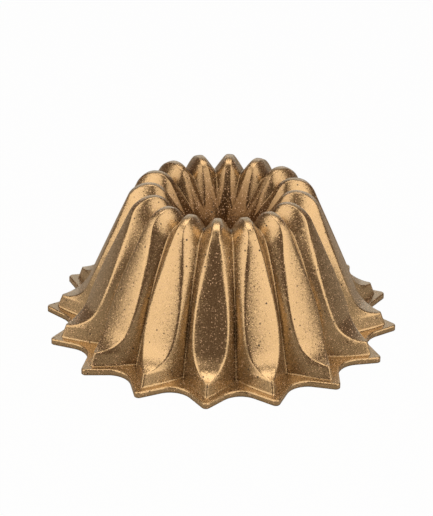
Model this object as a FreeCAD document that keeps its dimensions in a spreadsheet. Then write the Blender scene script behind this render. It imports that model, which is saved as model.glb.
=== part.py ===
"""Fluted bundt pan, one aluminium casting with a sprayed coating outside and a release coating inside.

The pan stands on its rim: Z points up through the centre tube and Z = 0 is the rim face.
Lengths are in mm.  One of the sixteen ribs points along -Y and the others follow every 22.5 degrees.
"""
import FreeCAD
import Part
import Sketcher
import math
import os

doc = FreeCAD.newDocument("bundt_pan")
sheet = doc.addObject("Spreadsheet::Sheet", "sizes")
NEXT_ROW = [1]


def size(name, value, note):
    """One named cell of the size sheet."""
    row = NEXT_ROW[0]
    NEXT_ROW[0] = row + 1
    sheet.set("A%d" % row, name)
    sheet.set("B%d" % row, repr(value))
    sheet.set("C%d" % row, note)
    sheet.setAlias("B%d" % row, name)


size("ribs", 16, "ribs round the pan, one star point below each")
size("coat", 0.3, "thickness of each coating")
size("wall", 3.8, "thickness of the cast wall")
size("rim_thickness", 4.5, "height of the star-shaped rim")
size("rim_disc_radius", 136.0, "disc that the notches are cut from")
size("rim_blank_bore", 60.0, "radius left open in the rim blank, well inside the ribbed wall")
size("notch_radius", 107.5, "where the two sides of a notch would meet, from the centre")
size("notch_half_angle", 49.5, "between a notch side and the line to the centre, in degrees")
size("notch_rounding", 16.4, "radius at the bottom of a notch")
size("point_rounding", 3.3, "radius on each star point, seen from above")
size("rim_edge_rounding", 1.2, "radius round the upper edge of the rim")
size("keel_foot_radius", 124.0, "keel of a rib at the rim face")
size("keel_top_radius", 118.8, "keel of a rib where its face begins")
size("keel_top_height", 14.2, "height where the face of a rib begins")
size("keel_half_width", 0.8, "half width of the narrow keel and of the crest line")
size("valley_foot_radius", 98.3, "valley between ribs at the rim face")
size("flare_angle", 5.8, "slope of the face at its lowest point, in degrees")
size("flare_radius", 23.5, "hollow curve at the bottom of the face")
size("face_angle", 67.3, "slope of the straight face, in degrees")
size("face_length", 76.2, "length of the straight face")
size("shoulder_radius", 18.5, "outer curve of the crest")
size("lip_radius", 13.3, "inner curve of the crest")
size("funnel_angle", 57.8, "slope of the funnel below the crest, in degrees")
size("funnel_join_radius", 26.8, "where the ribs fade into the plain funnel")
size("valley_angle", 72.5, "slope of the lower valley, in degrees")
size("valley_straight", 49.2, "length of the straight lower valley")
size("valley_bend_radius", 224.0, "slow curve of the upper valley")
size("valley_top_angle", 60.3, "slope where the valley turns over, in degrees")
size("valley_shoulder", 17.3, "outer curve at the top of the valley")
size("valley_lip", 9.9, "inner curve at the top of the valley")
size("throat_radius", 12.9, "narrowest part of the centre tube as cast, before its bore is opened out")
size("bore_radius", 13.5, "finished bore through the coated centre tube")
size("face_half_width", 12.65, "half width of a rib face at its widest")
size("face_widest", 37.5, "distance up the face where it is widest")
size("face_foot_spread", 0.70, "half width gained per millimetre where a face starts from its keel")
size("face_end", 112.0, "distance over the crest where the outer face has narrowed away")
size("inner_face_start", 130.0, "distance over the crest where the funnel face begins")
doc.recompute()


def mm(name):
    """The value of a named size."""
    return float(getattr(sheet, name))


HALF_PITCH = math.pi / mm("ribs")
FAN = 360.0 / mm("ribs")
UP = FreeCAD.Vector(0, 0, 1)
CENTRE = FreeCAD.Vector(0, 0, 0)
STEPS = (4, 7, 5, 5, 5, 5, 1)


# ---------------------------------------------------------------- profile lines
def bend(turn_from, turn_to, radius):
    """An arc of a profile line as (length, curvature), slopes in degrees."""
    turn = math.radians(turn_to - turn_from)
    return (abs(turn) * radius, math.copysign(1.0 / radius, turn))


def straight(length):
    """A straight stretch of a profile line."""
    return (length, 0.0)


def advance(state, length, curvature):
    """Move (radius, height, slope) along one stretch; the slope is positive while climbing inward."""
    radius, height, slope = state
    if abs(curvature) < 1e-12:
        return (radius - length * math.cos(slope), height + length * math.sin(slope), slope)
    end = slope + curvature * length
    radius = radius - (math.sin(end) - math.sin(slope)) / curvature
    height = height - (math.cos(end) - math.cos(slope)) / curvature
    return (radius, height, end)


def profile(start, slope, stretches):
    """A profile line: the state at the start of every stretch, with the stretches."""
    states = [(start[0], start[1], math.radians(slope))]
    for length, curvature in stretches:
        states.append(advance(states[-1], length, curvature))
    return (states, stretches)


def along(line, distance, offset):
    """The point at a distance along a profile line, moved off it by an offset on the air side."""
    states, stretches = line
    index = 0
    while index < len(stretches) - 1 and distance > stretches[index][0]:
        distance = distance - stretches[index][0]
        index = index + 1
    radius, height, slope = advance(states[index], distance, stretches[index][1])
    return (radius + offset * math.sin(slope), height + offset * math.cos(slope))


def throat_stretches(join_height):
    """The plain funnel below the ribs: a long bend into the upright bore, and the bore past the rim face."""
    slope = math.radians(mm("funnel_angle"))
    radius = (mm("funnel_join_radius") - mm("throat_radius")) / (1.0 - math.sin(slope))
    low = join_height - radius * math.cos(slope)
    return [bend(-mm("funnel_angle"), -90.0, radius), straight(low + 8.0)]


def crest_line():
    """Middle of a rib face: flare, straight face, over the crest, down the funnel and the bore."""
    start = (mm("keel_top_radius"), mm("keel_top_height"))
    stretches = [
        bend(mm("flare_angle"), mm("face_angle"), mm("flare_radius")),
        straight(mm("face_length")),
        bend(mm("face_angle"), 0, mm("shoulder_radius")),
        bend(0, -mm("funnel_angle"), mm("lip_radius")),
    ]
    last = profile(start, mm("flare_angle"), stretches)[0][-1]
    run = (last[0] - mm("funnel_join_radius")) / math.cos(last[2])
    join_height = last[1] + run * math.sin(last[2])
    stretches = stretches + [straight(run)] + throat_stretches(join_height)
    return profile(start, mm("flare_angle"), stretches)


def valley_line(crest):
    """Crease between two ribs: up from the rim, over between the crests, and down to meet the funnel."""
    start = (mm("valley_foot_radius"), 0.0)
    join_radius, join_height, join_slope = crest[0][5]
    climb = [
        straight(mm("valley_straight")),
        bend(mm("valley_angle"), mm("valley_top_angle"), mm("valley_bend_radius")),
        bend(mm("valley_top_angle"), 0, mm("valley_shoulder")),
    ]
    top = profile(start, mm("valley_angle"), climb)[0][-1]
    low, high = 30.0, 70.0
    for _ in range(40):
        fall = (low + high) / 2
        bent = advance(top, *bend(0, -fall, mm("valley_lip")))
        run = (bent[0] - join_radius) / math.cos(bent[2])
        if bent[1] + run * math.sin(bent[2]) > join_height:
            low = fall
        else:
            high = fall
    states = profile(start, mm("valley_angle"), climb + [bend(0, -fall, mm("valley_lip")), straight(run)])
    merged = states[0][:-1] + [(join_radius, join_height, join_slope)]
    for length, curvature in crest[1][5:]:
        merged.append(advance(merged[-1], length, curvature))
    return (merged, states[1] + crest[1][5:])


CREST = crest_line()
VALLEY = valley_line(CREST)


def marks(line):
    """Distances along a profile line at which its stretches begin and end."""
    total = [0.0]
    for length, _ in line[1]:
        total.append(total[-1] + length)
    return total


CREST_MARKS = marks(CREST)
VALLEY_MARKS = marks(VALLEY)


def bisect(test, low, high):
    """The distance at which a falling test passes through zero."""
    for _ in range(50):
        middle = (low + high) / 2
        if test(middle) > 0:
            low = middle
        else:
            high = middle
    return (low + high) / 2


# ---------------------------------------------------------------- rib sections
def keel_radius(height, offset):
    """Keel of a rib at a height; a sharp keel moves further than the wall it joins."""
    fall = (mm("keel_foot_radius") - mm("keel_top_radius")) / mm("keel_top_height")
    return mm("keel_foot_radius") - fall * height + 1.7 * offset


def crease_offset(offset, relief):
    """How far a V-shaped crease moves when its two sides move by an offset."""
    return offset * (1.0 + 0.45 * relief)


def face_width(distance, begin, offset):
    """Half width of a rib face at a distance along the crest line: a lance outside, another in the funnel."""
    widest = mm("face_half_width") + 0.45 * offset
    wide = 0.0
    if distance < mm("face_widest"):
        rise = max(0.0, (mm("face_widest") - distance) / (mm("face_widest") - begin))
        lance = widest * (1.0 - min(rise, 1.0) ** 2.6) + 1e-6
        wedge = mm("face_foot_spread") * max(distance - begin, 0.0) + 1e-6
        wide = (lance ** -6 + wedge ** -6) ** (-1.0 / 6.0)
        share = (math.hypot(mm("keel_half_width"), widest) - mm("keel_half_width")) / widest
        return mm("keel_half_width") + share * wide
    if distance < mm("face_end"):
        fade = (distance - mm("face_widest")) / (mm("face_end") - mm("face_widest"))
        wide = widest * math.cos(fade * math.pi / 2) ** 1.3
    elif distance > mm("inner_face_start"):
        grow = (distance - mm("inner_face_start")) / (CREST_MARKS[5] - mm("inner_face_start"))
        wide = 4.4 * min(grow, 1.0) ** 1.5
    return math.hypot(mm("keel_half_width"), wide)


def ease(value):
    """A smooth step from 0 to 1."""
    value = min(1.0, max(0.0, value))
    return value * value * (3.0 - 2.0 * value)


def bow_at(distance):
    """How far the side of a rib bows out and how far its bow leans to the face, as parts of its width."""
    rise = ease((distance - 45.0) / 65.0) * depth_at(distance)
    return (0.05 + 0.08 * rise, 0.36 * rise)


def depth_at(distance):
    """1 where the creases lie deep between the ribs, fading to 0 where they come up to the funnel."""
    return 1.0 - ease((distance - CREST_MARKS[4]) / (CREST_MARKS[5] - CREST_MARKS[4]))


def relief_at(distance):
    """1 where the sections are ribbed, fading to 0 where they have turned into the round throat."""
    return 1.0 - ease((distance - CREST_MARKS[5]) / (CREST_MARKS[6] - CREST_MARKS[5]))


def mix(first, second, share):
    """The point a share of the way from the first to the second."""
    return first + (second - first) * share


def round_points(radius, height):
    """Corners of a plain round section, spaced so that its two arcs meet smoothly."""
    half = HALF_PITCH / 2
    reach = ((radius / math.cos(half), 0.0), (radius, half),
             (radius / math.cos(half / 2), 1.5 * half), (radius, HALF_PITCH))
    return [FreeCAD.Vector(r * math.cos(a), r * math.sin(a), height) for r, a in reach]


def rib_points(crest, valley, half_width, bow):
    """Corners of half a rib section: middle of the face, face edge, side, crease."""
    radius, height = crest
    angle = math.asin(half_width / radius)
    middle = FreeCAD.Vector(radius / math.cos(angle), 0, height)
    edge = FreeCAD.Vector(radius * math.cos(angle), half_width, height)
    crease = FreeCAD.Vector(valley[0] * math.cos(HALF_PITCH), valley[0] * math.sin(HALF_PITCH), valley[1])
    out = FreeCAD.Vector(edge.x - crease.x, 0, edge.z - crease.z).normalize()
    chord = crease - edge
    normal = out * chord.y - FreeCAD.Vector(0, chord.dot(out), 0)
    side = edge + chord * (0.5 - bow[1]) + normal * bow[0]
    return [middle, edge, side, crease]


def section(crest, valley, half_width, bow, relief):
    """The row of control points across half a rib, face middle first and crease last."""
    proud = rib_points(crest, valley, half_width, bow)
    plain = round_points(crest[0], crest[1])
    return [mix(b, a, relief) for a, b in zip(proud, plain)]


def keel_rows(offset, foot, corner_height):
    """The two sections between which the keel of a rib runs straight."""
    rows = []
    slope = math.radians(mm("valley_angle"))
    for height in (foot, corner_height):
        crease_radius = mm("valley_foot_radius") - height / math.tan(slope)
        crease_radius = crease_radius + crease_offset(offset, 1.0) / math.sin(slope)
        crest = (keel_radius(height, offset), height)
        rows.append(section(crest, (crease_radius, height), mm("keel_half_width"), bow_at(0), 1.0))
    return rows


def rib_rows(offset, foot):
    """The sections of a rib from the top of its keel over the crest and down the bore to foot height."""
    begin = bisect(lambda s: along(CREST, s, offset)[0] - keel_radius(along(CREST, s, offset)[1], offset),
                   0.0, CREST_MARKS[1])
    corner = along(CREST, begin, offset)[1]
    crease_move = crease_offset(offset, 1.0)
    valley_begin = bisect(lambda s: corner - along(VALLEY, s, crease_move)[1], 0.0, VALLEY_MARKS[1])
    finish = bisect(lambda s: along(CREST, s, offset)[1] - foot, CREST_MARKS[6], CREST_MARKS[7])
    crest_stops = [begin, CREST_MARKS[1]] + CREST_MARKS[2:7] + [finish]
    beside_flare = valley_begin + 0.45 * (CREST_MARKS[1] - begin)
    valley_finish = VALLEY_MARKS[6] + finish - CREST_MARKS[6]
    valley_stops = [valley_begin, beside_flare] + VALLEY_MARKS[2:7] + [valley_finish]
    rows = []
    places = []
    for stretch, steps in enumerate(STEPS):
        for step in range(steps):
            share = step / steps
            s = crest_stops[stretch] + share * (crest_stops[stretch + 1] - crest_stops[stretch])
            v = valley_stops[stretch] + share * (valley_stops[stretch + 1] - valley_stops[stretch])
            places.append((s, v))
    places.append((finish, valley_finish))
    for s, v in places:
        crest = along(CREST, s, offset)
        valley = along(VALLEY, v, crease_offset(offset, depth_at(s)))
        rows.append(section(crest, valley, face_width(s, begin, offset), bow_at(s), relief_at(s)))
    return [s - begin for s, v in places], rows


# ---------------------------------------------------------------- skins and solids
def mirrored(point):
    """Mirror a point across the upright plane through the middle of the rib."""
    return FreeCAD.Vector(point.x, -point.y, point.z)


def strips(row):
    """The three strips of one rib section, each a smooth three-point arc: face, one side, other side."""
    middle, edge, side, crease = row
    return [
        [mirrored(edge), middle, edge],
        [edge, side, crease],
        [mirrored(edge), mirrored(side), mirrored(crease)],
    ]


def strip_faces(places, triples, breaks):
    """Faces swept through three-point arcs, smooth along their length and parted at the breaks."""
    columns = []
    for index in range(3):
        points = [triple[index] for triple in triples]
        if len(points) == 2:
            columns.append((points, [2, 2], [0.0, 1.0], 1))
        else:
            curve = Part.BSplineCurve()
            curve.interpolate(Points=points, Parameters=places)
            columns.append((curve.getPoles(), curve.getMultiplicities(), curve.getKnots(), curve.Degree))
    surface = Part.BSplineSurface()
    poles = [[column[0][i] for column in columns] for i in range(len(columns[0][0]))]
    _, mults, knots, degree = columns[0]
    surface.buildFromPolesMultsKnots(poles, mults, [3, 3], knots, [0.0, 1.0], False, False, degree, 2)
    faces = []
    for low, high in zip(breaks[:-1], breaks[1:]):
        part = surface.copy()
        part.segment(low, high, 0.0, 1.0)
        faces.append(part.toShape())
    return faces


def rib_faces(offset, foot):
    """The faces of one rib, its middle along +X, from foot height up and down again to the rim face."""
    places, rows = rib_rows(offset, foot)
    keel = keel_rows(offset, foot, rows[0][0].z)
    breaks = [places[0]] + [places[sum(STEPS[:count])] for count in (2, 3, 5)] + [places[-1]]
    faces = []
    for group, stations, parts in ((keel, [0.0, 1.0], [0.0, 1.0]), (rows, places, breaks)):
        table = [strips(row) for row in group]
        for index in range(3):
            faces = faces + strip_faces(stations, [row[index] for row in table], parts)
    return faces


def turned(shapes):
    """Copies of the shapes at every rib, the first rib along -Y."""
    result = []
    for number in range(int(mm("ribs"))):
        for shape in shapes:
            copy = shape.copy()
            copy.rotate(CENTRE, UP, number * FAN - 90.0)
            result.append(copy)
    return result


def flat_loops(faces, height):
    """Closed wires made of the face edges that lie at one height."""
    edges = []
    for face in faces:
        for edge in face.Edges:
            box = edge.BoundBox
            if abs(box.ZMin - height) < 1e-4 and abs(box.ZMax - height) < 1e-4:
                edges.append(edge)
    loops = [Part.Wire(group) for group in Part.sortEdges(edges)]
    return sorted(loops, key=lambda wire: -wire.BoundBox.DiagonalLength)


def sewn_solid(faces):
    """One solid from the faces that bound it."""
    shell = Part.makeCompound(faces)
    shell.sewShape()
    solid = Part.Solid(shell.Shells[0])
    if solid.Volume < 0:
        solid.reverse()
    return solid


def fluted_solid(name, offset, foot):
    """The solid under one fluted skin, closed flat at foot height round the bore of the centre tube."""
    faces = turned(rib_faces(offset, foot))
    loops = flat_loops(faces, foot)
    floor = Part.makeFace([loops[0], loops[-1]], "Part::FaceMakerBullseye")
    item = doc.addObject("Part::Feature", name)
    item.Shape = sewn_solid(faces + [floor])
    item.Placement = FreeCAD.Placement(CENTRE, FreeCAD.Rotation(UP, 0))
    return item


# ---------------------------------------------------------------- star-shaped rim
def origin_part(body, role):
    """A plane or axis of a body's own origin."""
    return [item for item in body.Origin.OriginFeatures if item.Role == role][0]


def flat_sketch(body, name, turn):
    """An empty sketch on the body's ground plane, turned about Z."""
    sketch = body.newObject("Sketcher::SketchObject", name)
    sketch.AttachmentSupport = (origin_part(body, "XY_Plane"), [""])
    sketch.MapMode = "FlatFace"
    sketch.AttachmentOffset = FreeCAD.Placement(CENTRE, FreeCAD.Rotation(UP, turn))
    return sketch


def rule(sketch, name, expression, *where):
    """A dimension of a sketch that follows the size sheet."""
    number = sketch.addConstraint(Sketcher.Constraint(*where))
    sketch.renameConstraint(number, name)
    sketch.setExpression("Constraints." + name, expression)


def draw_disc(sketch):
    """The round blank of the rim."""
    radius = mm("rim_disc_radius")
    sketch.addGeometry(Part.Circle(CENTRE, UP, radius), False)
    sketch.addConstraint(Sketcher.Constraint("Coincident", 0, 3, -1, 1))
    rule(sketch, "disc_radius", "sizes.rim_disc_radius", "Radius", 0, radius)
    sketch.addGeometry(Part.Circle(CENTRE, UP, mm("rim_blank_bore")), False)
    sketch.addConstraint(Sketcher.Constraint("Coincident", 1, 3, -1, 1))
    rule(sketch, "bore_radius", "sizes.rim_blank_bore", "Radius", 1, mm("rim_blank_bore"))


def draw_notch(sketch, inset):
    """One notch between two star points: two straight sides and a round bottom, open outward."""
    half = math.radians(mm("notch_half_angle"))
    rounding = mm("notch_rounding")
    centre_x = mm("notch_radius") + rounding / math.sin(half)
    touch_x = centre_x - rounding * math.sin(half)
    touch_y = rounding * math.cos(half)
    far_x = mm("rim_disc_radius") + 12.0
    far_y = touch_y + (far_x - touch_x) * math.tan(half)
    top = FreeCAD.Vector(far_x, far_y, 0)
    low = FreeCAD.Vector(far_x, -far_y, 0)
    circle = Part.Circle(FreeCAD.Vector(centre_x, 0, 0), UP, rounding)
    arc = Part.ArcOfCircle(circle, math.pi / 2 + half, 3 * math.pi / 2 - half)
    sketch.addGeometry(arc, False)
    sketch.addGeometry(Part.LineSegment(FreeCAD.Vector(touch_x, touch_y, 0), top), False)
    sketch.addGeometry(Part.LineSegment(top, low), False)
    sketch.addGeometry(Part.LineSegment(low, FreeCAD.Vector(touch_x, -touch_y, 0)), False)
    sketch.addConstraint(Sketcher.Constraint("Tangent", 1, 1, 0, 1))
    sketch.addConstraint(Sketcher.Constraint("Coincident", 1, 2, 2, 1))
    sketch.addConstraint(Sketcher.Constraint("Coincident", 2, 2, 3, 1))
    sketch.addConstraint(Sketcher.Constraint("Tangent", 3, 2, 0, 2))
    sketch.addConstraint(Sketcher.Constraint("PointOnObject", 0, 3, -1))
    sketch.addConstraint(Sketcher.Constraint("Symmetric", 2, 1, 2, 2, -1))
    apex = "sizes.notch_radius - %s / sin(sizes.notch_half_angle * 1deg)" % inset
    grown = "(sizes.notch_rounding + %s)" % inset
    rule(sketch, "rounding", grown, "Radius", 0, rounding)
    rule(sketch, "centre", "%s + %s / sin(sizes.notch_half_angle * 1deg)" % (apex, grown),
         "DistanceX", -1, 1, 0, 3, centre_x)
    rule(sketch, "side_angle", "sizes.notch_half_angle * 1deg", "Angle", -1, 1, 1, 1, half)
    rule(sketch, "reach", "sizes.rim_disc_radius + 12", "DistanceX", -1, 1, 2, 1, far_x)


def edge_names(feature, wanted):
    """Names of the edges of a feature that pass a test."""
    return ["Edge%d" % (i + 1) for i, edge in enumerate(feature.Shape.Edges) if wanted(edge)]


def is_point_edge(edge):
    """True for the upright edge at the tip of a star point."""
    box = edge.BoundBox
    return box.ZLength > 1.0 and math.hypot(box.Center.x, box.Center.y) > mm("notch_radius") + 20.0


def is_upper_outline(edge):
    """True for an edge of the star outline on the upper face of the rim."""
    box = edge.BoundBox
    return box.ZMin > mm("rim_thickness") - 1.0 and math.hypot(box.Center.x, box.Center.y) > mm("notch_radius")


def rim_body(name, inset):
    """The star-shaped rim, drawn in by an inset on its edge and upper face."""
    body = doc.addObject("PartDesign::Body", name)
    blank = flat_sketch(body, name + "_blank", 0.0)
    draw_disc(blank)
    pad = body.newObject("PartDesign::Pad", name + "_pad")
    pad.Profile = blank
    pad.setExpression("Length", "sizes.rim_thickness - " + inset)
    doc.recompute()
    notch = flat_sketch(body, name + "_notch", FAN / 2)
    draw_notch(notch, inset)
    pocket = body.newObject("PartDesign::Pocket", name + "_pocket")
    pocket.Profile = notch
    pocket.Type = "ThroughAll"
    pocket.Midplane = True
    body.Tip = pocket
    doc.recompute()
    star = body.newObject("PartDesign::PolarPattern", name + "_star")
    star.Originals = [pocket]
    star.Axis = (origin_part(body, "Z_Axis"), [""])
    star.Angle = 360
    star.setExpression("Occurrences", "sizes.ribs")
    body.Tip = star
    doc.recompute()
    points = body.newObject("PartDesign::Fillet", name + "_points")
    points.Base = (star, edge_names(star, is_point_edge))
    points.setExpression("Radius", "sizes.point_rounding - " + inset)
    body.Tip = points
    doc.recompute()
    soft = body.newObject("PartDesign::Fillet", name + "_edge")
    soft.Base = (points, edge_names(points, is_upper_outline))
    soft.setExpression("Radius", "sizes.rim_edge_rounding - " + inset)
    body.Tip = soft
    doc.recompute()
    return body


# ---------------------------------------------------------------- pieces of the pan
def joined(name, shapes):
    """Several solids made into one."""
    item = doc.addObject("Part::MultiFuse", name)
    item.Shapes = shapes
    doc.recompute()
    return item


def shared(name, shapes):
    """What several solids have in common."""
    item = doc.addObject("Part::MultiCommon", name)
    item.Shapes = shapes
    doc.recompute()
    return item


def layer_between(name, outer, inner, height):
    """The layer between two nested forms that end flat at the same height."""
    faces = []
    loops = []
    for form in (outer, inner):
        sides = [face for face in form.Shape.Faces if face.BoundBox.ZMax > height + 0.001]
        faces = faces + sides
        loops = loops + flat_loops(sides, height)
    loops.sort(key=lambda wire: -wire.BoundBox.DiagonalLength)
    faces.append(Part.makeFace(loops[:2], "Part::FaceMakerBullseye"))
    faces.append(Part.makeFace(loops[-2:], "Part::FaceMakerBullseye"))
    item = doc.addObject("Part::Feature", name)
    item.Shape = sewn_solid(faces)
    item.Placement = FreeCAD.Placement(CENTRE, FreeCAD.Rotation(UP, 0))
    return item


def taken_from(name, base, tool):
    """One solid with another cut out of it."""
    item = doc.addObject("Part::Cut", name)
    item.Base = base
    item.Tool = tool
    doc.recompute()
    return item


def bored(form, extra):
    """A form with its throat opened out to a true round bore, wider by the extra amount."""
    drill = doc.addObject("Part::Cylinder", form.Name + "_drill")
    drill.setExpression("Radius", "sizes.bore_radius + " + extra)
    drill.Height = 60.0
    drill.Placement = FreeCAD.Placement(FreeCAD.Vector(0, 0, -5.0), FreeCAD.Rotation(UP, 0))
    return taken_from(form.Name + "_bored", form, drill)


def rim_face_slab():
    """Everything lower than the top of the release coating on the rim face."""
    slab = doc.addObject("Part::Cylinder", "rim_face_slab")
    slab.setExpression("Radius", "sizes.rim_disc_radius + 10")
    slab.setExpression("Height", "5 + sizes.coat")
    slab.Placement = FreeCAD.Placement(FreeCAD.Vector(0, 0, -5), FreeCAD.Rotation(UP, 0))
    return slab


coat = mm("coat")
wall = mm("wall")
slab = rim_face_slab()
coated_skin = bored(fluted_solid("coated_skin", 0.0, 0.0), "0")
coated = joined("coated_form", [rim_body("coated_rim", "0"), coated_skin])
metal_skin = bored(fluted_solid("metal_skin", -coat, 0.0), "sizes.coat")
metal = joined("metal_form", [rim_body("metal_rim", "sizes.coat"), metal_skin])
metal_above = taken_from("metal_above_rim_face", metal, slab)
hollow = fluted_solid("metal_hollow", -coat - wall, coat)
baking = fluted_solid("baking_hollow", -2 * coat - wall, -1.0)
baking_above = taken_from("baking_hollow_above_rim_face", baking, slab)
rim_plate = taken_from("rim_face_coating", shared("rim_face_plate", [metal, slab]), baking)

outside_coating = layer_between("outside_coating", coated, metal, 0.0)
pan_casting = layer_between("pan_casting", metal_above, hollow, coat)
lining = layer_between("hollow_lining", hollow, baking_above, coat)
inside_coating = joined("inside_coating", [lining, rim_plate])
doc.recompute()

os.makedirs("parts", exist_ok=True)
for node in (pan_casting, outside_coating, inside_coating):
    node.Label = node.Name
    node.Placement = FreeCAD.Placement(CENTRE, FreeCAD.Rotation(UP, 0))
    shape = node.Shape
    if shape.isNull() or not shape.isValid():
        raise RuntimeError(node.Name + " is not a valid solid")
    shape.exportStep("parts/" + node.Label + ".step")
for item in doc.Objects:
    if "Invalid" in item.State or "Error" in item.State:
        raise RuntimeError(item.Name + " did not build")
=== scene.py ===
"""Looks of the fluted bundt pan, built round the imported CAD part.

The two sprayed coatings are modelled again as fine smooth skins, with the small roundings that a real
casting has.  The casting stays the CAD node, drawn in a little so that it lies hidden between them.
Profile lines and sections are worked out in millimetres of the pan; the meshes are in metres.
"""
import bpy
import math
import numpy as np
from mathutils import Matrix, Vector


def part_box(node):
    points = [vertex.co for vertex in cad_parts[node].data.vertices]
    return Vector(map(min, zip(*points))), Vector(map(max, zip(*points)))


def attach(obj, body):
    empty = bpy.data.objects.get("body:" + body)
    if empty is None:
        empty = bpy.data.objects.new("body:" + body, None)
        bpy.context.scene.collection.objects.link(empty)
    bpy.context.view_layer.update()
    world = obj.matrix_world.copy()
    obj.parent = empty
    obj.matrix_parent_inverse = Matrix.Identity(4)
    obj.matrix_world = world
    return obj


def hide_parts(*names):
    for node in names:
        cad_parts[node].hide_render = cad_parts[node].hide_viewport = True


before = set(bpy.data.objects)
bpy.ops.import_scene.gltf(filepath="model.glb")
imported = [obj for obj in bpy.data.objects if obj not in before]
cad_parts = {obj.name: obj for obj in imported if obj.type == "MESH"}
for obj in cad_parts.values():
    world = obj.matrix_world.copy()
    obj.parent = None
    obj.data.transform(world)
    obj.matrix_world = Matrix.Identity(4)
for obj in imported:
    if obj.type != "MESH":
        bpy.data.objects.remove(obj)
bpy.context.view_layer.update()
LOW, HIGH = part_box("outside_coating")
REACH = (HIGH.x - LOW.x) / 2        # centre to a star point
MM = REACH / 130.0                  # one millimetre of the pan, in metres
RIBS = 16
HALF_PITCH = math.pi / RIBS

# Sizes of the pan in millimetres, with angles in degrees
COAT = 0.3                          # thickness of each coating as drawn
SKIN = 0.22                         # thickness the coatings are shown with, inside the drawn one
WALL = 3.8                          # thickness of the casting
RIM_TOP = 4.5                       # height of the star-shaped rim
RIM_EDGE = 1.2                      # rounding of the upper edge of the rim
RIM_FOOT = 0.25                     # rounding of its lower edge
NOTCH_APEX = 107.5                  # where the two sides of a notch would meet, from the centre
NOTCH_HALF_ANGLE = 49.5             # between a notch side and the line to the centre
NOTCH_ROUND, TIP_ROUND = 16.4, 3.3  # roundings at the bottom of a notch and on a star point
KEEL_FOOT = 124.0                   # keel of a rib at the rim face
KEEL_TOP, KEEL_HEIGHT = 118.8, 14.2   # keel of a rib where its face begins
KEEL_WIDTH = 0.8                    # half width of the keel and of the crest line
FLARE_ANGLE, FLARE_RADIUS = 5.8, 23.5   # hollow curve at the bottom of a face
FACE_ANGLE, FACE_LENGTH = 67.3, 76.2    # its straight stretch
SHOULDER_RADIUS, LIP_RADIUS = 18.5, 13.3    # outer and inner curve of the crest
FUNNEL_ANGLE = 57.8                 # slope of the funnel below the crest
JOIN = 26.8                         # radius where the ribs fade into the plain funnel
THROAT = 12.9                       # narrowest part of the centre tube as cast
BORE = 13.5                         # its finished bore
BORE_GAP = 0.05                     # how far the inside coating's foot stays clear of the bore
PAST_RIM = 8.0                      # how far the bore's line runs on below the rim face
VALLEY_FOOT, VALLEY_ANGLE = 98.3, 72.5  # valley between ribs at the rim face
VALLEY_LENGTH = 49.2                # its straight stretch
VALLEY_BEND, VALLEY_TOP_ANGLE = 224.0, 60.3     # its slow curve, and the slope that it reaches
VALLEY_SHOULDER, VALLEY_LIP = 17.3, 9.9     # outer and inner curve at its top
FACE_WIDTH, FACE_WIDEST = 12.65, 37.5   # widest half width of a face, and how far up it lies
FACE_SPREAD = 0.70                  # half width gained per millimetre at the foot of a face
FACE_END, INNER_START = 112.0, 130.0    # where the outer face ends and the funnel face begins
INNER_WIDTH = 4.4                   # widest half width of a funnel face
LANCE_POWER, FADE_POWER, INNER_POWER = 2.6, 1.3, 1.5    # how full the outlines of the faces are
BLEND, TINY = -6, 1e-6              # a smooth least of two widths, and what keeps them off 0
BOW_START, BOW_RUN = 45.0, 65.0     # where the sides begin to bow more, and over what length
BOW_LEAST, BOW_GAIN = 0.05, 0.08    # bow of a rib's side, as a part of its width
BOW_LEAN = 0.36                     # how far the bow then leans to the face
KEEL_SHIFT = 1.7                    # how far a keel moves when its two sides move by 1
FACE_SHIFT = 0.45                   # how much wider a face gets
CREASE_SHIFT = 0.45                 # how much further than its sides a crease moves
EDGE_CUT = 1.6                      # reach of an edge's rounding to either side
OUTSIDE_CREASE, INSIDE_CREASE = 1.1, 3.6    # reach of the rounding in a crease
MOST_OF_FACE, HALF_OF_SIDE = 0.8, 0.5   # what a rounding takes up at most
VALLEY_LAG = 0.45                   # run of the valley beside a flare, as part of the flare's length
DRAWN_IN = 0.6                      # how far the casting is held back under its coatings
SEAM_GAP = 1e-5                     # the casting's doubled points that lie closer are merged

# Fineness of the skins
FACE_STEPS, EDGE_STEPS, SIDE_STEPS, CREASE_STEPS = 6, 5, 14, 4
COLUMNS = FACE_STEPS + EDGE_STEPS + SIDE_STEPS + CREASE_STEPS + 1
KEEL_ROWS = 8
ROW_GAP = 1.3                       # about the distance between the rows above the keel
ACROSS = np.array([-math.sin(HALF_PITCH), math.cos(HALF_PITCH), 0.0])   # square to a crease's plane

# Looks
WARM = (1.0, 0.84, 0.64)            # colour of the lamps
DIM = 0.080                         # brightness of the studio on the camera side
DIM_TINT = (1.0, 0.50, 0.32, 1)     # and its colour
BACKDROP = 0.75                     # brightness behind the pan
PAINTED_CREVICE_SHADE = [(0.28, (0.12, 0.09, 0.07)), (0.72, (1.0, 1.0, 1.0))]     # painted shade: darker the less open a place is, in creases and hollows
PALE_FLECK = (0.95, 0.68, 0.50, 1.0)
DARK_FLECK = (0.030, 0.018, 0.012, 1.0)


# ---------------------------------------------------------------- profile lines
# A profile line is a row of stretches.  By number, these are the ends of its first one, of the lip,
# of the straight funnel and of the bend into the bore, and the end of the line.
FIRST_END, LIP_END, FUNNEL_END, BEND_END, LINE_END = 1, 4, 5, 6, 7


def bend(start, end, radius):
    """An arc of a profile line as (length, curvature)."""
    turn = math.radians(end - start)
    return (abs(turn) * radius, math.copysign(1.0 / radius, turn))


def advance(state, length, curvature):
    """Move (radius, height, slope) along one stretch."""
    radius, height, slope = state
    if abs(curvature) < 1e-12:
        return (radius - length * math.cos(slope), height + length * math.sin(slope), slope)
    end = slope + curvature * length
    radius = radius - (math.sin(end) - math.sin(slope)) / curvature
    height = height - (math.cos(end) - math.cos(slope)) / curvature
    return (radius, height, end)


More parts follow.
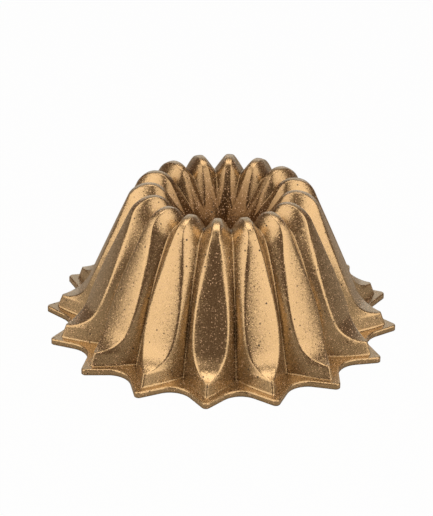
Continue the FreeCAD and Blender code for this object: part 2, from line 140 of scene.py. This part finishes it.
def profile(radius, height, slope, stretches):
    """A profile line: the state at the start of every stretch, with the stretches."""
    states = [(radius, height, math.radians(slope))]
    for length, curvature in stretches:
        states.append(advance(states[-1], length, curvature))
    return (states, stretches)


def along(line, distance, offset):
    """The point at a distance along a profile line, moved off it on the air side."""
    states, stretches = line
    index = 0
    while index < len(stretches) - 1 and distance > stretches[index][0]:
        distance = distance - stretches[index][0]
        index = index + 1
    radius, height, slope = advance(states[index], distance, stretches[index][1])
    return (radius + offset * math.sin(slope), height + offset * math.cos(slope))


def crest_line():
    """Middle of a rib face, from its foot over the crest and down the funnel."""
    start = (KEEL_TOP, KEEL_HEIGHT, FLARE_ANGLE)
    stretches = [
        bend(FLARE_ANGLE, FACE_ANGLE, FLARE_RADIUS),
        (FACE_LENGTH, 0.0),
        bend(FACE_ANGLE, 0, SHOULDER_RADIUS),
        bend(0, -FUNNEL_ANGLE, LIP_RADIUS),
    ]
    last = profile(*start, stretches)[0][-1]
    run = (last[0] - JOIN) / math.cos(last[2])
    slope = math.radians(FUNNEL_ANGLE)
    radius = (JOIN - THROAT) / (1.0 - math.sin(slope))
    low = last[1] + run * math.sin(last[2]) - radius * math.cos(slope)
    stretches = stretches + [(run, 0.0), bend(-FUNNEL_ANGLE, -90.0, radius), (low + PAST_RIM, 0.0)]
    return profile(*start, stretches)


def valley_line(crest):
    """Crease between two ribs, from the rim over the top to where the ribs fade into the funnel."""
    start = (VALLEY_FOOT, 0.0, VALLEY_ANGLE)
    join_radius, join_height, join_slope = crest[0][FUNNEL_END]
    climb = [
        (VALLEY_LENGTH, 0.0),
        bend(VALLEY_ANGLE, VALLEY_TOP_ANGLE, VALLEY_BEND),
        bend(VALLEY_TOP_ANGLE, 0, VALLEY_SHOULDER),
    ]
    top = profile(*start, climb)[0][-1]
    low, high = 30.0, 70.0
    for _ in range(40):
        fall = (low + high) / 2
        bent = advance(top, *bend(0, -fall, VALLEY_LIP))
        run = (bent[0] - join_radius) / math.cos(bent[2])
        if bent[1] + run * math.sin(bent[2]) > join_height:
            low = fall
        else:
            high = fall
    states = profile(*start, climb + [bend(0, -fall, VALLEY_LIP), (run, 0.0)])
    merged = states[0][:-1] + [(join_radius, join_height, join_slope)]
    for length, curvature in crest[1][FUNNEL_END:]:
        merged.append(advance(merged[-1], length, curvature))
    return (merged, states[1] + crest[1][FUNNEL_END:])


def marks(line):
    """Distances at which the stretches of a profile line begin and end."""
    return [0.0] + list(np.cumsum([length for length, _ in line[1]]))


CREST = crest_line()
VALLEY = valley_line(CREST)
CREST_MARKS = marks(CREST)
VALLEY_MARKS = marks(VALLEY)


def bisect(test, low, high):
    """The distance at which a falling test passes through zero."""
    for _ in range(50):
        middle = (low + high) / 2
        if test(middle) > 0:
            low = middle
        else:
            high = middle
    return (low + high) / 2


# ---------------------------------------------------------------- rib sections
def ease(value):
    """A smooth step from 0 to 1."""
    value = min(1.0, max(0.0, value))
    return value * value * (3.0 - 2.0 * value)


def keel_radius(height, offset):
    """Keel of a rib at a height."""
    return KEEL_FOOT - (KEEL_FOOT - KEEL_TOP) / KEEL_HEIGHT * height + KEEL_SHIFT * offset


def face_width(distance, begin, offset):
    """Half width of a rib face: a lance on the outside and another in the funnel."""
    widest = FACE_WIDTH + FACE_SHIFT * offset
    wide = 0.0
    if distance < FACE_WIDEST:
        rise = (FACE_WIDEST - distance) / (FACE_WIDEST - begin)
        lance = widest * (1.0 - min(rise, 1.0) ** LANCE_POWER) + TINY
        wedge = FACE_SPREAD * max(distance - begin, 0.0) + TINY
        wide = (lance ** BLEND + wedge ** BLEND) ** (1.0 / BLEND)
        return KEEL_WIDTH + (math.hypot(KEEL_WIDTH, widest) - KEEL_WIDTH) / widest * wide
    if distance < FACE_END:
        fade = (distance - FACE_WIDEST) / (FACE_END - FACE_WIDEST)
        wide = widest * math.cos(fade * math.pi / 2) ** FADE_POWER
    elif distance > INNER_START:
        grow = (distance - INNER_START) / (CREST_MARKS[FUNNEL_END] - INNER_START)
        wide = INNER_WIDTH * min(grow, 1.0) ** INNER_POWER
    return math.hypot(KEEL_WIDTH, wide)


def bulge(distance):
    """How far the side of a rib bows out and how far its bow leans to the face, as parts of its width."""
    rise = ease((distance - BOW_START) / BOW_RUN) * depth_at(distance)
    return (BOW_LEAST + BOW_GAIN * rise, BOW_LEAN * rise)


def fade_out(distance, start, end):
    """1 up to one mark of the crest line, fading to 0 at another."""
    return 1.0 - ease((distance - CREST_MARKS[start]) / (CREST_MARKS[end] - CREST_MARKS[start]))


def depth_at(distance):
    """1 where the creases lie deep between the ribs, fading to 0 where they come up to the funnel."""
    return fade_out(distance, LIP_END, FUNNEL_END)


def relief_at(distance):
    """1 where the ribs stand proud, 0 where they have run out into the round bore."""
    return fade_out(distance, FUNNEL_END, BEND_END)


def crease_offset(offset, relief):
    """How far a crease moves when its two sides move by an offset."""
    return offset * (1.0 + CREASE_SHIFT * relief)


def corners(crest, valley, half_width, bow, relief):
    """Corners of half a rib section: middle of the face, face edge, side, crease."""
    radius, height = crest
    angle = math.asin(half_width / radius)
    middle = np.array([radius / math.cos(angle), 0, height])
    edge = np.array([radius * math.cos(angle), half_width, height])
    crease = np.array([valley[0] * math.cos(HALF_PITCH), valley[0] * math.sin(HALF_PITCH), valley[1]])
    out = np.array([edge[0] - crease[0], 0, edge[2] - crease[2]])
    out = out / np.linalg.norm(out)
    chord = crease - edge
    normal = out * chord[1] - np.array([0, chord @ out, 0])
    side = edge + chord * (0.5 - bow[1]) + normal * bow[0]
    half = HALF_PITCH / 2
    reach = ((radius / math.cos(half), 0.0), (radius, half),
             (radius / math.cos(half / 2), 1.5 * half), (radius, HALF_PITCH))
    plain = np.array([[r * math.cos(a), r * math.sin(a), height] for r, a in reach])
    return plain + (np.array([middle, edge, side, crease]) - plain) * relief


def arc_points(first, middle, last, count):
    """Points along a smooth three-point arc, without its last point."""
    t = np.linspace(0, 1, count, endpoint=False)[:, None]
    return first * (1 - t) ** 2 + 2 * middle * t * (1 - t) + last * t ** 2


def toward(first, second, distance, share):
    """A point a distance from the first towards the second, but never past a share of the way."""
    gap = np.linalg.norm(second - first)
    return first + (second - first) * min(distance / gap, share)


def section_points(shape, crease_cut):
    """Half a rib section from the middle of its face to the crease, with its corners rounded."""
    middle, edge, side, crease = shape
    face_end = toward(edge, middle, EDGE_CUT, MOST_OF_FACE)
    side_start = toward(edge, side, EDGE_CUT, HALF_OF_SIDE)
    side_end = toward(crease, side, crease_cut, HALF_OF_SIDE)
    across = side_end - 2 * (side_end @ ACROSS) * ACROSS
    mirror = np.array([1.0, -1.0, 1.0])
    face = arc_points(face_end * mirror, middle, face_end, 2 * FACE_STEPS)[FACE_STEPS:]
    fillet = arc_points(face_end, edge, side_start, EDGE_STEPS)
    flank = arc_points(side_start, side, side_end, SIDE_STEPS)
    root = arc_points(side_end, crease, across, 2 * CREASE_STEPS)[:CREASE_STEPS + 1]
    return np.vstack([face, fillet, flank, root])


def keel_shape(height, offset):
    """Rib section at a height on the keel."""
    slope = math.radians(VALLEY_ANGLE)
    crease = VALLEY_FOOT - height / math.tan(slope) + crease_offset(offset, 1.0) / math.sin(slope)
    return corners((keel_radius(height, offset), height), (crease, height), KEEL_WIDTH, bulge(0), 1.0)


def off_keel(distance, offset):
    """How far outside the keel's line the crest line runs; 0 where the face leaves the keel."""
    radius, height = along(CREST, distance, offset)
    return radius - keel_radius(height, offset)


def places_between(stops):
    """Evenly spaced distances within each pair of stops, and the last stop."""
    places = []
    for start, end in zip(stops[:-1], stops[1:]):
        places.append(np.linspace(start, end, max(4, int((end - start) / ROW_GAP)), endpoint=False))
    return np.concatenate(places + [[stops[-1]]])


def skin_rows(offset, foot, crease_cut):
    """Half rib sections from the foot, up the keel, over the crest and down the bore to the rim face."""
    begin = bisect(lambda s: off_keel(s, offset), 0.0, CREST_MARKS[FIRST_END])
    corner = along(CREST, begin, offset)[1]
    move = crease_offset(offset, 1.0)
    valley_begin = bisect(lambda s: corner - along(VALLEY, s, move)[1], 0.0, VALLEY_MARKS[FIRST_END])
    finish = bisect(lambda s: along(CREST, s, offset)[1], CREST_MARKS[BEND_END], CREST_MARKS[LINE_END])
    valley_finish = VALLEY_MARKS[BEND_END] + finish - CREST_MARKS[BEND_END]
    beside_flare = valley_begin + VALLEY_LAG * (CREST_MARKS[FIRST_END] - begin)
    crest_stops = [begin] + CREST_MARKS[FIRST_END:LINE_END] + [finish]
    valley_stops = [valley_begin, beside_flare] + VALLEY_MARKS[FIRST_END + 1:LINE_END] + [valley_finish]
    rows = []
    for height in np.linspace(foot, corner, KEEL_ROWS, endpoint=False):
        rows.append(section_points(keel_shape(height, offset), crease_cut))
    for s in places_between(crest_stops):
        v = np.interp(s, crest_stops, valley_stops)
        shape = corners(along(CREST, s, offset), along(VALLEY, v, crease_offset(offset, depth_at(s))),
                        face_width(s, begin, offset), bulge(s), relief_at(s))
        rows.append(section_points(shape, crease_cut))
    return rows


# ---------------------------------------------------------------- star-shaped rim
def direction(angle):
    """The unit vector at an angle, seen from above."""
    return np.array([math.cos(angle), math.sin(angle)])


def rim_outline():
    """Half of one star point seen from above, tip to notch: points and outward directions."""
    half = math.radians(NOTCH_HALF_ANGLE)
    lean = half - HALF_PITCH
    notch_centre = direction(HALF_PITCH) * (NOTCH_APEX + NOTCH_ROUND / math.sin(half))
    tip = NOTCH_APEX * math.sin(half) / math.sin(lean)
    tip_centre = np.array([tip - TIP_ROUND / math.sin(lean), 0.0])
    side = math.pi / 2 - lean
    points = []
    for angle in np.linspace(0, side, 7)[:-1]:
        points.append((tip_centre + direction(angle) * TIP_ROUND, direction(angle)))
    first = tip_centre + direction(side) * TIP_ROUND
    last = notch_centre - direction(side) * NOTCH_ROUND
    for share in np.linspace(0, 1, 10)[:-1]:
        points.append((first + (last - first) * share, direction(side)))
    for angle in np.linspace(side, HALF_PITCH, COLUMNS - len(points)):
        points.append((notch_centre - direction(angle) * NOTCH_ROUND, direction(angle)))
    return np.array([p for p, _ in points]), np.array([o for _, o in points])


def rim_rings(foot_row):
    """Rings of the outside of the rim, from the rim face outward, round its edge and in to the rib foot."""
    points, out = rim_outline()
    rings = []
    for height in (0.0, RIM_FOOT, 0.6, 1.6, 2.6):
        pull = RIM_FOOT - math.sqrt(max(0.0, RIM_FOOT ** 2 - max(0.0, RIM_FOOT - height) ** 2))
        rings.append(np.column_stack([points - out * pull, np.full(len(points), height)]))
    for angle in np.linspace(0, math.pi / 2, 7):
        flat = points - out * RIM_EDGE * (1 - math.cos(angle))
        height = RIM_TOP - RIM_EDGE + RIM_EDGE * math.sin(angle)
        rings.append(np.column_stack([flat, np.full(len(points), height)]))
    edge = rings[-1]
    for share in (0.06, 0.2, 0.4, 0.6, 0.8, 0.92):
        rings.append(edge + (foot_row - edge) * share)
    return rings


# ---------------------------------------------------------------- meshes
def skin_mesh(name, rows, flip):
    """One closed ring of ribs from rows of half sections, as a smooth mesh in metres."""
    table = np.array(rows)
    inner = np.hypot(table[:, :, 0], table[:, :, 1])
    table[:, :, :2] = table[:, :, :2] * (np.maximum(inner, BORE) / inner)[:, :, None]
    half = table * MM
    mirror = half[:, ::-1, :] * np.array([1.0, -1.0, 1.0])
    whole = np.concatenate([mirror[:, :-1], half[:, :-1]], axis=1)
    turned = []
    for rib in range(RIBS):
        angle = rib * 2 * HALF_PITCH - math.pi / 2
        c, s = math.cos(angle), math.sin(angle)
        turned.append(whole @ np.array([[c, s, 0], [-s, c, 0], [0, 0, 1]]))
    ring = np.concatenate(turned, axis=1)
    count, across = ring.shape[:2]
    index = np.arange(count * across).reshape(count, across)
    right = np.roll(index, -1, axis=1)
    quads = np.stack([index[:-1], right[:-1], right[1:], index[1:]], axis=-1).reshape(-1, 4)
    if flip:
        quads = quads[:, ::-1]
    mesh = bpy.data.meshes.new(name)
    mesh.from_pydata(ring.reshape(-1, 3).tolist(), [], quads.tolist())
    mesh.polygons.foreach_set("use_smooth", [True] * len(mesh.polygons))
    mesh.update()
    piece = bpy.data.objects.new(name, mesh)
    bpy.context.scene.collection.objects.link(piece)
    return piece


def thicken(piece):
    """Give a skin its thickness, on the side of the metal."""
    solid = piece.modifiers.new("thickness", "SOLIDIFY")
    solid.thickness = SKIN * MM
    solid.offset = -1
    solid.use_even_offset = False
    solid.use_rim = True


def stand_for(piece, node):
    """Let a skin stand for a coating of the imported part, on the pan's body."""
    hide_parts(node)
    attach(piece, "root")


def outside_skin():
    """The coating over the outside: rim edge, rim top, ribs, crest, funnel and bore."""
    rows = skin_rows(0.0, RIM_TOP, OUTSIDE_CREASE)
    piece = skin_mesh("outside_coat", rim_rings(rows[0]) + rows, False)
    thicken(piece)
    stand_for(piece, "outside_coating")
    return piece


def inside_skin():
    """The release coating: rim face, baking hollow and the foot of the centre tube."""
    rows = skin_rows(-2 * COAT - WALL, 0.0, INSIDE_CREASE)
    points, out = rim_outline()
    outline = np.column_stack([points - out * RIM_FOOT, np.zeros(len(points))])
    rings = [outline + (rows[0] - outline) * share for share in (0.0, 0.15, 0.4, 0.7, 0.9, 0.97)]
    tube = rows[-1].copy()
    shrink = (BORE + BORE_GAP) / np.hypot(tube[:, 0], tube[:, 1])[:, None]
    painted_throat_shade = np.column_stack([tube[:, :2] * shrink, np.zeros(len(tube))])
    ends = [tube + (painted_throat_shade - tube) * share for share in (0.03, 0.5, 0.97, 1.0)]
    piece = skin_mesh("inside_coat", rings + rows + ends, True)
    thicken(piece)
    stand_for(piece, "inside_coating")
    return piece


def drawn_in(casting):
    """Hold the bare metal back a little, so that it stays under the rounded edges of the coatings."""
    seams = casting.modifiers.new("seams", "WELD")
    seams.merge_threshold = SEAM_GAP * MM
    back = casting.modifiers.new("under_coating", "DISPLACE")
    back.strength = -DRAWN_IN * MM
    back.mid_level = 0.0


# ---------------------------------------------------------------- materials
class Nodes:
    """The node tree of a material or of the world, built a node at a time."""

    def __init__(self, owner):
        self.owner = owner
        owner.use_nodes = True
        self.tree = owner.node_tree
        self.tree.nodes.clear()

    def add(self, kind, inputs=None, **settings):
        """A node with its settings, and inputs that are values or other nodes' outputs."""
        node = self.tree.nodes.new("ShaderNode" + kind)
        for key, value in settings.items():
            setattr(node, key, value)
        for key, value in (inputs or {}).items():
            if isinstance(value, bpy.types.NodeSocket):
                self.tree.links.new(value, node.inputs[key])
            else:
                node.inputs[key].default_value = value
        return node

    def math(self, operation, first, second, **settings):
        """One sum of two values."""
        node = self.add("Math", {0: first, 1: second}, operation=operation, **settings)
        return node.outputs[0]

    def vector(self, operation, first, second=None, scale=None):
        """One sum with vectors."""
        inputs = {0: first}
        if second is not None:
            inputs[1] = second
        if scale is not None:
            inputs["Scale"] = scale
        return self.add("VectorMath", inputs, operation=operation).outputs[0]

    def noise(self, where, turns, detail, **inputs):
        """Cloudy noise from 0 to 1, with so many turns to a millimetre."""
        inputs.update({"Vector": where, "Scale": turns / MM, "Detail": detail})
        return self.add("TexNoise", inputs).outputs["Fac"]

    def cells(self, where, pitch):
        """Cells of about a pitch in millimetres, strewn by chance."""
        inputs = {"Vector": where, "Scale": 1.0 / (pitch * MM), "Randomness": 1.0}
        return self.add("TexVoronoi", inputs, feature="F1").outputs

    def ramp(self, factor, stops):
        """A colour ramp over (position, grey or colour) stops."""
        node = self.add("ValToRGB", {"Fac": factor})
        ramp = node.color_ramp
        while len(ramp.elements) < len(stops):
            ramp.elements.new(0.5)
        for element, (position, value) in zip(ramp.elements, stops):
            element.position = position
            element.color = value if len(value) == 4 else (*value, 1.0)
        return node.outputs["Color"]

    def mix(self, factor, first, second, blend="MIX"):
        """A colour mix."""
        node = self.add("Mix", data_type="RGBA", blend_type=blend)
        for socket, value in (("Factor", factor), ("A", first), ("B", second)):
            slots = [s for s in node.inputs if s.name == socket and s.enabled]
            if isinstance(value, bpy.types.NodeSocket):
                self.tree.links.new(value, slots[0])
            else:
                slots[0].default_value = value
        return [s for s in node.outputs if s.enabled][0]

    def surface(self, inputs):
        """Send a principled surface with these inputs to the output, and give back the material."""
        skin = self.add("BsdfPrincipled", inputs)
        self.add("OutputMaterial", {"Surface": skin.outputs["BSDF"]})
        return self.owner


def grey(value):
    """An opaque grey."""
    return (value, value, value, 1.0)


def specks(nodes, where, pitch, size, share):
    """A mask of small round specks: a share of the cells hold a dot each, of up to a size."""
    cells = nodes.cells(where, pitch)
    split = nodes.add("SeparateColor", {"Color": cells["Color"]})
    chosen = nodes.math("LESS_THAN", split.outputs["Red"], share)
    grown = nodes.add("MapRange", {"Value": split.outputs["Green"], "To Min": 0.45 * size, "To Max": size})
    edge = nodes.math("SUBTRACT", grown.outputs["Result"], cells["Distance"])
    dot = nodes.add("MapRange", {"Value": edge, "From Min": 0.0, "From Max": 0.10})
    return nodes.math("MULTIPLY", dot.outputs["Result"], chosen)


def sparkle(nodes, where, pitch, tilt, share):
    """A surface normal with small flakes lying at chance angles, and the mask of those flakes."""
    cells = nodes.cells(where, pitch)
    other = nodes.add("TexWhiteNoise", {"Vector": cells["Position"]}, noise_dimensions="3D")
    chosen = nodes.math("LESS_THAN", other.outputs["Value"], share)
    lean = nodes.vector("SUBTRACT", cells["Color"], (0.5, 0.5, 0.5))
    lean = nodes.vector("SCALE", lean, scale=nodes.math("MULTIPLY", chosen, 2.0 * tilt))
    face = nodes.add("NewGeometry")
    tilted = nodes.vector("ADD", face.outputs["Normal"], lean)
    return (nodes.vector("NORMALIZE", tilted), chosen)


def throat_shade(nodes, where, dark):
    """Painted shade: a tint that darkens from the edge of the funnel towards the bore."""
    flat = nodes.vector("MULTIPLY", where, (1.0, 1.0, 0.0))
    reach = nodes.add("VectorMath", {0: flat}, operation="LENGTH").outputs["Value"]
    near = nodes.add("MapRange", {"Value": reach, "From Min": 56.0 * MM, "From Max": 26.0 * MM},
                     interpolation_type="SMOOTHSTEP")
    return nodes.mix(near.outputs["Result"], grey(1.0), dark)


def granite_gold(name, base, deep, painted_throat_shade):
    """Gold-bronze sprayed coating: metal flakes in a brown ground, dark and pale specks, fine orange peel,
    with painted shade in creases and towards the bore.
    """
    nodes = Nodes(bpy.data.materials.new(name))
    where = nodes.add("TexCoord").outputs["Object"]
    tone = nodes.mix(nodes.noise(where, turns=0.02, detail=3.0), base, deep)
    grain = nodes.noise(where, turns=1.1, detail=4.0, Roughness=0.7)
    shade = nodes.ramp(grain, [(0.36, grey(0.94)), (0.64, grey(1.05))])
    tone = nodes.mix(1.0, tone, shade, "MULTIPLY")
    # painted shade, darker towards the bore
    tone = nodes.mix(1.0, tone, throat_shade(nodes, where, painted_throat_shade), "MULTIPLY")
    # painted shade: the coating's colour is darkened in creases and hollows by ambient occlusion
    crevice_occlusion_shade = nodes.add("AmbientOcclusion", {"Distance": 4.0 * MM}, samples=6)
    tone = nodes.mix(1.0, tone, nodes.ramp(crevice_occlusion_shade.outputs["AO"], PAINTED_CREVICE_SHADE), "MULTIPLY")
    pale = specks(nodes, where, pitch=1.20, size=0.35, share=0.78)
    tone = nodes.mix(pale, tone, PALE_FLECK)
    dark_small = specks(nodes, where, pitch=3.4, size=0.26, share=0.18)
    dark_big = specks(nodes, where, pitch=6.5, size=0.17, share=0.34)
    dark = nodes.math("MAXIMUM", dark_small, dark_big)
    tone = nodes.mix(dark, tone, DARK_FLECK)
    normal, flakes = sparkle(nodes, where, pitch=0.62, tilt=0.12, share=0.34)
    rough = nodes.mix(flakes, grey(0.31), grey(0.26))
    rough = nodes.mix(dark, rough, grey(0.55))
    plain = nodes.math("MAXIMUM", dark, pale)
    metal = nodes.math("SUBTRACT", 0.95, plain, use_clamp=True)
    peel = nodes.noise(where, turns=0.55, detail=2.0)
    bump = nodes.add("Bump", {"Height": peel, "Strength": 0.12, "Distance": 0.25 * MM, "Normal": normal})
    return nodes.surface({"Base Color": tone, "Roughness": rough, "Metallic": metal, "Coat Weight": 0.30,
                          "Coat Roughness": 0.22, "Normal": bump.outputs["Normal"]})


def cast_metal():
    """Bare cast aluminium under the coatings."""
    nodes = Nodes(bpy.data.materials.new("cast_aluminium"))
    grain = nodes.noise(nodes.add("TexCoord").outputs["Object"], turns=1.4, detail=5.0)
    tone = nodes.ramp(grain, [(0.3, grey(0.50)), (0.7, grey(0.64))])
    bump = nodes.add("Bump", {"Height": grain, "Strength": 0.3, "Distance": 0.15 * MM})
    return nodes.surface({"Base Color": tone, "Roughness": 0.5, "Metallic": 1.0,
                          "Normal": bump.outputs["Normal"]})


def floor_paint():
    """Studio floor: plain grey to the light that falls on it, and white to the camera."""
    nodes = Nodes(bpy.data.materials.new("studio_floor"))
    where = nodes.add("TexCoord").outputs["Object"]
    cloud = nodes.add("TexNoise", {"Vector": where, "Scale": 3.0})
    tone = nodes.ramp(cloud.outputs["Fac"], [(0.3, grey(0.40)), (0.7, grey(0.42))])
    skin = nodes.add("BsdfPrincipled", {"Base Color": tone, "Roughness": 0.85})
    glow = nodes.add("Emission", {"Color": grey(1.0), "Strength": 1.0})
    share = nodes.math("MULTIPLY", nodes.add("LightPath").outputs["Is Camera Ray"], 0.98)
    both = nodes.add("MixShader", {0: share, 1: skin.outputs["BSDF"], 2: glow.outputs["Emission"]})
    nodes.add("OutputMaterial", {"Surface": both.outputs["Shader"]})
    return nodes.owner


def paint(piece, material):
    """Put one material on a piece."""
    piece.data.materials.clear()
    piece.data.materials.append(material)


# ---------------------------------------------------------------- studio
def toward_camera(azimuth, elevation):
    """The direction from the pan at two angles in degrees: azimuth 0 is the camera side, positive right."""
    a, e = math.radians(azimuth), math.radians(elevation)
    return Vector((math.sin(a) * math.cos(e), -math.cos(a) * math.cos(e), math.sin(e)))


def studio_floor():
    """A wide floor just under the pan."""
    size = 30 * REACH
    places = [(-size, -size, 0), (size, -size, 0), (size, size, 0), (-size, size, 0)]
    mesh = bpy.data.meshes.new("floor")
    mesh.from_pydata(places, [], [(0, 1, 2, 3)])
    floor = bpy.data.objects.new("floor", mesh)
    floor.location.z = LOW.z - 0.02 * MM
    bpy.context.scene.collection.objects.link(floor)
    paint(floor, floor_paint())


def soft_light(name, azimuth, elevation, distance, width, height, power):
    """A warm rectangular lamp aimed at the pan."""
    lamp = bpy.data.lights.new(name, "AREA")
    lamp.shape = "RECTANGLE"
    lamp.size = width
    lamp.size_y = height
    lamp.energy = power
    lamp.color = WARM
    item = bpy.data.objects.new(name, lamp)
    target = Vector((0, 0, 0.4 * REACH))
    item.location = target + distance * toward_camera(azimuth, elevation)
    item.rotation_euler = (item.location - target).to_track_quat("Z", "Y").to_euler()
    bpy.context.scene.collection.objects.link(item)


def surroundings():
    """The studio round the pan: dim and warm on the camera side, with a white backdrop behind."""
    world = bpy.data.worlds.new("studio")
    bpy.context.scene.world = world
    nodes = Nodes(world)
    split = nodes.add("SeparateXYZ", {"Vector": nodes.add("TexCoord").outputs["Generated"]})
    behind = {"Value": split.outputs["Y"], "From Min": 0.55, "From Max": 0.92,
              "To Min": DIM, "To Max": BACKDROP}
    level = nodes.add("MapRange", behind, interpolation_type="SMOOTHSTEP").outputs["Result"]
    seen = nodes.add("LightPath").outputs["Is Camera Ray"]
    strength = nodes.add("MapRange", {"Value": seen, "To Min": level, "To Max": 1.0})
    bright = nodes.add("MapRange", {"Value": level, "From Min": DIM, "From Max": 0.5})
    plain = nodes.math("MAXIMUM", bright.outputs["Result"], seen)
    tint = nodes.mix(plain, DIM_TINT, grey(1.0))
    light = nodes.add("Background", {"Color": tint, "Strength": strength.outputs["Result"]})
    nodes.add("OutputWorld", {"Surface": light.outputs["Background"]})


def photo_camera():
    """The camera: a long lens a little to the right of one rib, looking down at 27.6 degrees."""
    unit = 129.0 * MM
    distance = 14.44 * unit
    target = Vector((0, 0, 0.4 * unit))
    back = toward_camera(azimuth=4.14, elevation=27.57)
    roll = math.radians(1.18)
    data = bpy.data.cameras.new("camera")
    data.lens = 176.4
    data.sensor_width = 36.0
    data.shift_x = -0.0105
    data.shift_y = 0.0014
    data.clip_end = 50.0
    camera = bpy.data.objects.new("camera", data)
    upright = back.to_track_quat("Z", "Y").to_matrix().to_4x4()
    place = Matrix.Translation(target + back * distance)
    camera.matrix_world = place @ upright @ Matrix.Rotation(roll, 4, "Z")
    bpy.context.scene.collection.objects.link(camera)
    bpy.context.scene.camera = camera


# the last colour of each coating is the painted shade in the funnel towards the bore
outside_paint = granite_gold("granite_gold_outside", base=(0.570, 0.440, 0.272, 1),
                             deep=(0.490, 0.368, 0.222, 1), painted_throat_shade=(0.26, 0.19, 0.13, 1))
inside_paint = granite_gold("granite_gold_inside", base=(0.555, 0.430, 0.268, 1),
                            deep=(0.475, 0.358, 0.218, 1), painted_throat_shade=(0.85, 0.80, 0.75, 1))
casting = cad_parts["pan_casting"]
paint(outside_skin(), outside_paint)
paint(inside_skin(), inside_paint)
paint(casting, cast_metal())
drawn_in(casting)
studio_floor()
surroundings()
soft_light("left_softbox", azimuth=-60, elevation=30, distance=1.3, width=1.4, height=1.6, power=12)
soft_light("right_softbox", azimuth=60, elevation=30, distance=1.3, width=1.4, height=1.6, power=12)
soft_light("overhead", azimuth=180, elevation=80, distance=1.2, width=1.0, height=0.7, power=6)
photo_camera()
bpy.context.scene.view_settings.view_transform = "Standard"
